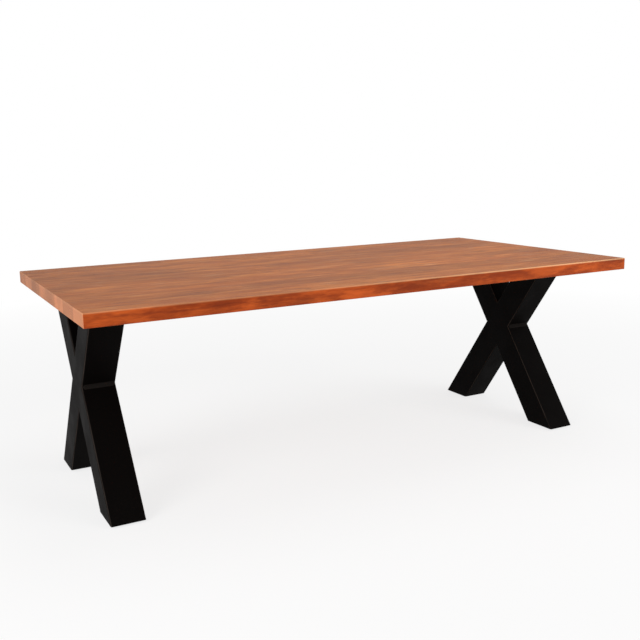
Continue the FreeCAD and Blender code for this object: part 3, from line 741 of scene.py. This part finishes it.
# %% Levellers
# An outline is a row of pairs: a radius and a height.
STUD_CORE, STUD_CREST, STUD_PITCH = 4.1, 5.0, 1.5
STUD_HEAD = ((6.1, 0.0), (6.5, 0.3), (6.5, 1.2), (6.1, 1.5), (3.5, 1.5), (3.5, 3.45))
COLLAR_LOW, COLLAR_HIGH, COLLAR_CORNER, COLLAR_FACE_SHARE = 3.45, 5.95, 9.8, 0.85
STUD_TIP = 33.95
PAD_OUTLINE = (
    (9.0, 0.35), (10.0, 0.0), (18.1, 0.0), (18.5, 0.12), (18.68, 0.45), (16.6, 3.55), (16.3, 4.05),
    (15.9, 4.35), (15.4, 4.5), (12.6, 4.5), (12.3, 4.1), (11.2, 4.1), (10.9, 4.5), (4.3, 4.5),
    (3.8, 4.1), (3.8, 3.1), (6.8, 3.1), (6.8, 1.2),
)
PAD_COLUMNS = 72


def leveller_stud():
    """Rows from the head upwards: turned head and neck, chamfered collar, then the thread."""
    angle = angles(HEX_COLUMNS)
    collar = chamfered(COLLAR_CORNER, COLLAR_FACE_SHARE, COLLAR_LOW, COLLAR_HIGH, angle, True, True)
    shank = thread(STUD_CORE, STUD_CREST, STUD_PITCH, COLLAR_HIGH, STUD_TIP, angle)
    return np.concatenate([outline(STUD_HEAD, angle), collar, shank])


def leveller_pad():
    """The pad's outline turned about its axis, from under the pad to the floor of its pocket."""
    return outline(PAD_OUTLINE, angles(PAD_COLUMNS))


stud, pad = leveller_stud(), leveller_pad()
for corner in CORNERS:
    stud_node, pad_node = f"{corner}_leveller_stud", f"{corner}_leveller_pad"
    steel = [closed_surface(stud + middle_of(stud_node))]
    make_piece(f"{corner}_threaded_stud", steel, zinc, "zinc_steel", f"{corner}_stud", stud_node)
    moulding = [closed_surface(pad + middle_of(pad_node))]
    make_piece(f"{corner}_nylon_pad", moulding, nylon, "black_nylon", f"{corner}_pad", pad_node)

# %% [markdown]
# Six bolts with washers hold each mounting plate up against the top. Their heads hang down, so the
# chamfered face is the lower one. One bolt and one washer are worked out, and the same grid is moved
# to each place: four near the corners of the plate and two between the arms of the X. Six linked
# copies could share one mesh, but the CAD model has the six as one node, so they are one piece here.

# %% Bolts and washers
BOLT_CORE, BOLT_CREST, BOLT_PITCH = 3.35, 4.0, 1.25
BOLT_CORNER, BOLT_FACE_SHARE, BOLT_HEAD, BOLT_TIP = 7.5, 0.84, 5.3, 33.3
BOLT_INSETS = (22.0, 28.0)
BOLT_INNER_REACH = 65.0
WASHER_HOLE, WASHER_EDGE, WASHER_THICKNESS, WASHER_ROUND = 4.3, 12.0, 2.0, 0.3


def plate_bolt():
    """Rows from the lower face upwards: the head with its lower corners off, then the thread."""
    angle = angles(HEX_COLUMNS)
    head = chamfered(BOLT_CORNER, BOLT_FACE_SHARE, 0.0, BOLT_HEAD, angle, True, False)
    shank = thread(BOLT_CORE, BOLT_CREST, BOLT_PITCH, BOLT_HEAD, BOLT_TIP, angle)
    return np.concatenate([head, shank])


def plate_washer():
    """A flat ring whose section has its four corners taken off."""
    soft, low, high = WASHER_ROUND, 0.0, WASHER_THICKNESS
    hole, edge = WASHER_HOLE, WASHER_EDGE
    section = (
        (edge - soft, low), (edge, low + soft), (edge, high - soft), (edge - soft, high),
        (hole + soft, high), (hole, high - soft), (hole, low + soft), (hole + soft, low),
    )
    return outline(section, angles(HEX_COLUMNS))


def bolt_places(side):
    """Where one plate's bolts go in plan: inwards from its corners, and to both sides of its middle."""
    low, high = (np.array(corner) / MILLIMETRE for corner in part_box(f"{side}_mounting_plate"))
    middle = (low + high) / 2
    reach = (high - low)[:2] / 2 - BOLT_INSETS
    outer = [middle[:2] + reach * (x, y) for x in (-1, 1) for y in (-1, 1)]
    inner = [middle[:2] + (0, y * BOLT_INNER_REACH) for y in (-1, 1)]
    return np.array(outer + inner)


bolt, washer = plate_bolt(), plate_washer()
for side in SIDES:
    bolts, washers = f"{side}_plate_bolts", f"{side}_plate_washers"
    levels = middle_of(bolts)[2], middle_of(washers)[2]
    set_bolts = [closed_surface(bolt + (x, y, levels[0])) for x, y in bolt_places(side)]
    set_washers = [closed_surface(washer + (x, y, levels[1]), ring=True) for x, y in bolt_places(side)]
    make_piece(f"{side}_hex_bolts", set_bolts, zinc, "zinc_steel", "table", bolts)
    make_piece(f"{side}_round_washers", set_washers, zinc, "zinc_steel", "table", washers)

# %% [markdown]
# The channels under the top are held by pan-head wood screws. The head's face is a flat dome with a
# cross pressed into it. A boolean could cut the cross, but it leaves thin faces that shade badly. Here
# the depth of the cross is a smooth step of how near a point is to either arm. The shank has a coarse,
# sharp thread that narrows to a point.

# %% Channel screws
SCREW_HEAD_RADIUS, SCREW_HEAD_HEIGHT, SCREW_LENGTH = 4.5, 2.6, 25.0
SCREW_CORE, SCREW_CREST, SCREW_PITCH, SCREW_POINT = 1.5, 2.25, 2.0, 6.0
CROSS_ARM, CROSS_REACH, CROSS_DEPTH, CROSS_SOFT = 0.55, 2.5, 1.5, 0.25
CROSS_RINGS, RIM_RING_SHARES = (0.2, 2.8, 14), (0.7, 0.8, 0.88, 0.94, 0.98, 1.0)
DOME_POWER = 4
SCREW_ROOT_SHARE, SCREW_TIP_SHARE = 0.4, 0.06
SCREW_COLUMNS = 64
CHANNEL_SCREW_SHARES = (-0.39, -0.23, -0.08, 0.08, 0.23, 0.39)


def smooth_step(value):
    """0 below 0, 1 above 1, and between them three times the square less twice the cube."""
    value = np.clip(value, 0, 1)
    return value * value * (3 - 2 * value)


def channel_screw():
    """Rows from the middle of the face outwards and up: domed head with its cross, then the shank.

    The dome is a quarter of a rounded square, a circle's formula with fourth powers. The cross adds
    its depth near either arm and within its reach, and less of it towards the rim. The shank is a
    thread whose radius shrinks over its last stretch in proportion to the length that is left.
    """
    angle = angles(SCREW_COLUMNS)
    rim_rings = SCREW_HEAD_RADIUS * np.array(RIM_RING_SHARES)
    radius = np.concatenate([np.linspace(*CROSS_RINGS), rim_rings])[:, None]
    dome = SCREW_HEAD_HEIGHT * (1 - (1 - (radius / SCREW_HEAD_RADIUS) ** DOME_POWER) ** (1 / DOME_POWER))
    from_arm = np.minimum(np.abs(radius * np.cos(angle)), np.abs(radius * np.sin(angle)))
    on_arm = smooth_step((CROSS_ARM - from_arm) / CROSS_SOFT)
    cross = on_arm * smooth_step((CROSS_REACH - radius) / CROSS_SOFT)
    head = turned(radius, dome + CROSS_DEPTH * cross * (1 - radius / SCREW_HEAD_RADIUS), angle)
    shank = thread(SCREW_CORE, SCREW_CREST, SCREW_PITCH, 0.0, SCREW_LENGTH, angle, SCREW_ROOT_SHARE)
    narrowing = np.clip((SCREW_LENGTH - shank[:, :, 2:]) / SCREW_POINT, SCREW_TIP_SHARE, 1)
    shank[:, :, :2] *= narrowing
    return np.concatenate([head, shank + (0, 0, SCREW_HEAD_HEIGHT)])


screw = channel_screw()
set_screws = []
for side in SIDES:
    low, high = (np.array(corner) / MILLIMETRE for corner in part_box(f"{side}_stiffener_channel"))
    for share in CHANNEL_SCREW_SHARES:
        at = ((low[0] + high[0]) / 2, share * (high[1] - low[1]), low[2] - SCREW_HEAD_HEIGHT)
        set_screws.append(closed_surface(screw + at))
make_piece("pan_head_screws", set_screws, zinc, "zinc_steel", "table", "channel_screws")

# %% [markdown]
# Where the tubes cross, a weld fills each of the four crotches, and smaller ones join the arms to the
# plate above. A weld is laid down drop by drop, so its face carries a row of crescent ripples, and
# the powder coat follows them. A bump could draw the ripples, but the mesh itself would stay smooth.
# So they are in the surface: the section, a curve that leaves both faces smoothly, is carried along X,
# with humps added to it and its two ends rounded off.

# %% A weld bead
CROTCH_LEG, PLATE_LEG = 10.6, 5.8
WELD_HUMP_SHARE, WELD_PITCH_SHARE = 0.066, 0.32
WELD_BOW, WELD_END, WELD_TIP_SHARE = 0.55, 5.0, 0.04
WELD_STEP, WELD_ACROSS, WELD_CURVE = 0.4, 15, 1.7


def weld_bead(apex, first, second, size, middle_x, length):
    """A bead along X between two faces that leave the apex along two directions in the YZ plane.

    A point of its face is the apex plus the two directions, each times the leg and a power of the
    share across; humps that lag towards the middle of the bead are added along the bisector.
    """
    along = np.linspace(-length / 2, length / 2, int(length / WELD_STEP))[:, None]
    across = np.linspace(0, 1, WELD_ACROSS)[None, :]
    ends = np.clip((length / 2 - np.abs(along)) / WELD_END, WELD_TIP_SHARE, 1)
    leg = size * np.sqrt(ends * (2 - ends))
    shares = np.stack([(1 - across) ** WELD_CURVE, across ** WELD_CURVE], axis=-1)
    crown = 4 * across * (1 - across)
    phase = (along / (size * WELD_PITCH_SHARE) - WELD_BOW * crown) % 1
    hump = size * WELD_HUMP_SHARE * (1 - (2 * phase - 1) ** 2) * np.sqrt(crown) * ends
    bisector = (first + second) / np.linalg.norm(first + second)
    section = apex + leg[..., None] * (shares @ np.stack([first, second])) + hump[..., None] * bisector
    root = np.broadcast_to(apex, (len(along), 1, 2))
    section = np.concatenate([section, root], axis=1)
    x = np.broadcast_to((middle_x + along)[..., None], section.shape[:2] + (1,))
    return np.concatenate([x, section], axis=-1)


print("beads: a ripple each", round(CROTCH_LEG * WELD_PITCH_SHARE, 1), "mm in the crotches")

# %% [markdown]
# Each frame has eight such beads. They could be put in place by eye, but a crotch is where the faces
# of two leaning tubes meet, so it can be worked out: it lies over or under the crossing by half the
# tube divided by the sine of the lean, or beside it by half the tube divided by the cosine. From there
# the legs of a bead run along the tubes, or along a tube and the plate.

# %% Welds of the frames
TUBE_CORNER = 6.0


def frame_welds(side):
    """The beads of one frame: four at the crossing, and two where each arm meets the plate."""
    crossing, lean = crossing_of(side)
    middle_x, _, level = crossing / MILLIMETRE
    tube = 2 * TUBE_HALF / MILLIMETRE
    plate_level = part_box(f"{side}_mounting_plate")[0].z / MILLIMETRE
    aside, up = math.sin(lean), math.cos(lean)
    above, beside = tube / 2 / aside, tube / 2 / up
    front_up, back_up = np.array((-aside, up)), np.array((aside, up))
    corners = [
        ((0, level + above), back_up, front_up, CROTCH_LEG),
        ((0, level - above), -back_up, -front_up, CROTCH_LEG),
        ((-beside, level), front_up, -back_up, CROTCH_LEG),
        ((beside, level), -front_up, back_up, CROTCH_LEG),
    ]
    along = np.array((1.0, 0.0))
    for arm, down in ((-TOP_SPREAD, -front_up), (TOP_SPREAD, -back_up)):
        arm = arm / MILLIMETRE
        corners.append(((arm - beside, plate_level), -along, down, PLATE_LEG))
        corners.append(((arm + beside, plate_level), down, along, PLATE_LEG))
    length = tube - 2 * TUBE_CORNER
    return [closed_surface(weld_bead(*corner, middle_x, length)) for corner in corners]


for side in SIDES:
    welds = f"{side}_frame_welds"
    make_piece(f"{side}_rippled_welds", frame_welds(side), weld_coat, "black_powder_coat", "table", welds)

# %% [markdown]
# The studio has a pale floor that runs out of sight and a dim white world that fills the shadows. A
# bent backdrop, as photographers use, could stand behind the table, but it would be in the way of
# views from the back. To the camera, and to mirror rays, the world and most of the floor are plain
# white, so white needs no more light on the table. From below the floor is clear, so that the
# underside can be looked at.

# %% World and floor
WORLD_FILL = 0.40
SKY_WHITE = (1, 1, 1, 1)
FLOOR_WHITE = (0.92, 0.92, 0.92, 1)
FLOOR_PLAIN_SHARE = 0.78
FLOOR_FADE = (1.6, 4.5)
FLOOR_REACH = 30.0


def seen_directly(tree):
    """1 for rays that show the background: camera, mirror and glass rays; 0 for the rest."""
    rays = add_node(tree, "ShaderNodeLightPath").outputs
    most = rays["Is Camera Ray"]
    for ray in ("Is Glossy Ray", "Is Transmission Ray"):
        most = add_node(tree, "ShaderNodeMath", {0: most, 1: rays[ray]}, operation="MAXIMUM").outputs[0]
    return most


def make_world():
    """A white world that is bright to look at and dim as a light."""
    world = bpy.data.worlds.new("studio")
    world.use_nodes = True
    tree = world.node_tree
    inputs = {"Value": seen_directly(tree), "To Min": WORLD_FILL, "To Max": 1.0}
    strength = add_node(tree, "ShaderNodeMapRange", inputs)
    sky = tree.nodes["Background"].inputs
    fill(tree, sky["Color"], SKY_WHITE)
    fill(tree, sky["Strength"], strength.outputs["Result"])
    bpy.context.scene.world = world


def floor_finish():
    """Pale paint that keeps the shadow, plain white for the greater share, and clear from below."""
    pale = bpy.data.materials.new("pale_floor")
    pale.use_nodes = True
    tree = pale.node_tree
    tree.nodes.remove(tree.nodes["Principled BSDF"])
    paint = add_node(tree, "ShaderNodeBsdfDiffuse", {"Color": FLOOR_WHITE}).outputs[0]
    plain = add_node(tree, "ShaderNodeEmission").outputs[0]
    clear = add_node(tree, "ShaderNodeBsdfTransparent").outputs[0]
    place = add_node(tree, "ShaderNodeTexCoord").outputs["Object"]
    away = add_node(tree, "ShaderNodeVectorMath", {0: place}, operation="LENGTH").outputs["Value"]
    near, far = FLOOR_FADE
    inputs = {"Value": away, "From Min": near, "From Max": far, "To Min": FLOOR_PLAIN_SHARE}
    fade = add_node(tree, "ShaderNodeMapRange", inputs).outputs["Result"]
    share = add_node(tree, "ShaderNodeMath", {0: seen_directly(tree), 1: fade}, operation="MULTIPLY")
    above = add_node(tree, "ShaderNodeMixShader", {0: share.outputs[0], 1: paint, 2: plain}).outputs[0]
    below = add_node(tree, "ShaderNodeNewGeometry").outputs["Backfacing"]
    faced = add_node(tree, "ShaderNodeMixShader", {0: below, 1: above, 2: clear}).outputs[0]
    fill(tree, tree.nodes["Material Output"].inputs["Surface"], faced)
    return pale


def make_floor():
    """A wide flat floor at the level that the table stands on."""
    mesh = bpy.data.meshes.new("floor")
    corners = [(x * FLOOR_REACH, y * FLOOR_REACH, 0) for x, y in ((-1, -1), (1, -1), (1, 1), (-1, 1))]
    mesh.from_pydata(corners, [], [(0, 1, 2, 3)])
    mesh.materials.append(floor_finish())
    floor = bpy.data.objects.new("floor", mesh)
    bpy.context.scene.collection.objects.link(floor)


make_world()
make_floor()
print("studio: world fill", WORLD_FILL, "and a floor", 2 * FLOOR_REACH, "m wide")

# %% [markdown]
# One large soft lamp stands to the left, where the light comes from in the photograph, and weaker ones
# in front and overhead. A sun could light the table too, but its shadows are hard, and a picture of a
# sky would have to be read from a file. The view transform is Standard, which shows a colour about as
# it is written.

# %% Lamps
# Name, place, aim, width in metres and power in watts.
LAMPS = (
    ("left_lamp", (-4.2, -1.6, 2.2), (0, 0, 0.6), 2.4, 95),
    ("front_lamp", (2.7, -3.4, 2.3), (0.4, 0, 0.6), 2.4, 68),
    ("top_lamp", (0.8, 0.2, 4.2), (0.2, 0, 0.7), 3.0, 42),
)


def soft_lamp(name, at, aim, width, power):
    """A square lamp of that width, in metres and watts, turned to its aim."""
    light = bpy.data.lights.new(name, "AREA")
    light.size = width
    light.energy = power
    lamp = bpy.data.objects.new(name, light)
    bpy.context.scene.collection.objects.link(lamp)
    lamp.location = at
    lamp.rotation_euler = (Vector(aim) - Vector(at)).to_track_quat("-Z", "Y").to_euler()


for lamp in LAMPS:
    soft_lamp(*lamp)
bpy.context.scene.view_settings.view_transform = "Standard"
print("light:", len(LAMPS), "lamps,", sum(lamp[-1] for lamp in LAMPS), "W in all")
